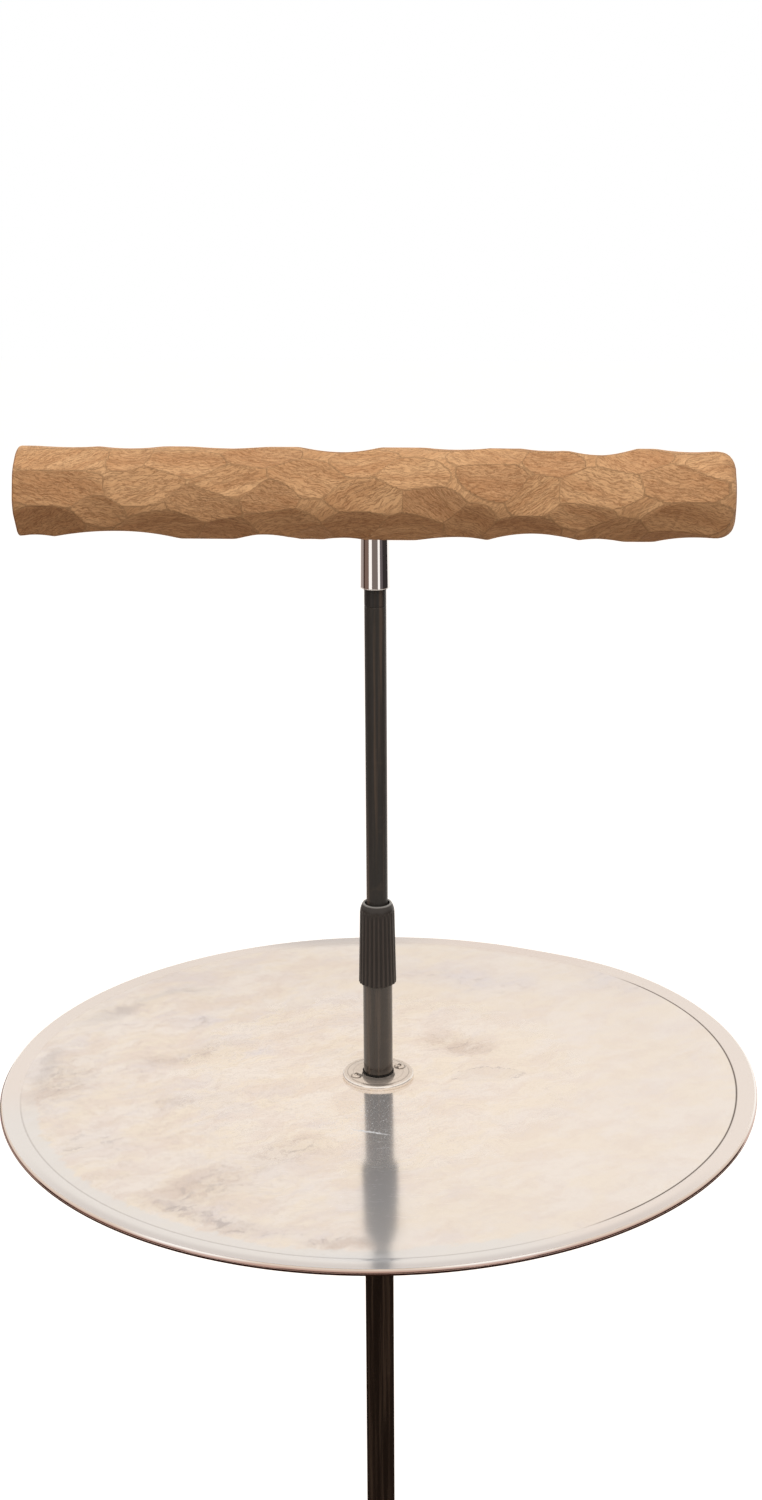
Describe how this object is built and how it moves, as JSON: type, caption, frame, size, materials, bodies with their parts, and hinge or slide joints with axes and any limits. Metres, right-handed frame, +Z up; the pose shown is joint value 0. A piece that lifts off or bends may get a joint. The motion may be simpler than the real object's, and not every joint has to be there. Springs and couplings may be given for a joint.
{
  "type": "bird perch stand",
  "caption": "Floor-standing T perch: carved wooden bar on a height-adjustable tube with twist clutch, round droppings tray and heavy round base.",
  "frame": {"origin": "on the floor, on the axis of the tube, level with the undersides of the rubber feet", "axes": "+Z up along the tube; X along the wooden bar; -Y towards the viewer of the picture"},
  "size_m": [0.5749, 0.575, 1.0974],
  "materials": {
    "carved_wood": "bare wood with shallow gouge facets, fine wavy fibrous grain, matt",
    "polished_steel": "polished steel, mirror bright",
    "zinc_steel": "zinc-plated steel",
    "black_fitting": "black, slightly glossy",
    "upper_tube_black": "satin black coated steel tube",
    "nylon": "natural nylon",
    "grip_black": "black moulded plastic with a soft sheen",
    "collet_grey": "dark grey acetal",
    "clutch_body_black": "black moulded plastic",
    "lower_tube_black": "satin black coated steel tube",
    "seal_rubber": "black rubber",
    "polished_aluminium": "turned and polished aluminium",
    "bright_screw": "nickel-plated steel",
    "tray_aluminium": "spun aluminium with a used satin surface, faint stains and fine scratches",
    "gasket_rubber": "black rubber",
    "collar_aluminium": "turned aluminium",
    "black_steel_screw": "black oxide steel",
    "base_iron": "cast iron with satin black powder coat",
    "plain_steel": "turned steel",
    "foot_rubber": "black rubber"
  },
  "bodies": {
    "stand": {"base_plate": "base_iron", "base_feet": "foot_rubber", "foot_plug": "plain_steel", "base_bolt": "zinc_steel", "base_washer": "zinc_steel", "lower_tube": "lower_tube_black", "clutch_body": "clutch_body_black", "clutch_collet": "collet_grey"},
    "tray": {"tray": "tray_aluminium", "tray_flange": "polished_aluminium", "flange_seal": "seal_rubber", "flange_screws": "bright_screw", "tray_gasket": "gasket_rubber", "tray_collar": "collar_aluminium", "collar_set_screws": "black_steel_screw"},
    "clutch_grip": {"clutch_grip": "grip_black"},
    "mast": {"upper_tube": "upper_tube_black", "guide_bush": "nylon", "tube_end_fitting": "black_fitting"},
    "perch": {"perch_bar": "carved_wood", "perch_socket": "polished_steel", "socket_wood_screw": "zinc_steel"}
  },
  "joints": [
    {"name": "mast_height", "type": "slide", "parent": "stand", "child": "mast", "axis": [0, 0, 1], "range_m": [-0.235, 0.25]},
    {"name": "perch_turn", "type": "hinge", "parent": "mast", "child": "perch", "pos_m": [0, 0, 1], "axis": [0, 0, 1], "continuous": true},
    {"name": "clutch_twist", "type": "hinge", "parent": "stand", "child": "clutch_grip", "pos_m": [0, 0, 0.72], "axis": [0, 0, 1], "range_deg": [0, 180]},
    {"name": "tray_height", "type": "slide", "parent": "stand", "child": "tray", "axis": [0, 0, 1], "range_m": [-0.5, 0.06]}
  ]
}
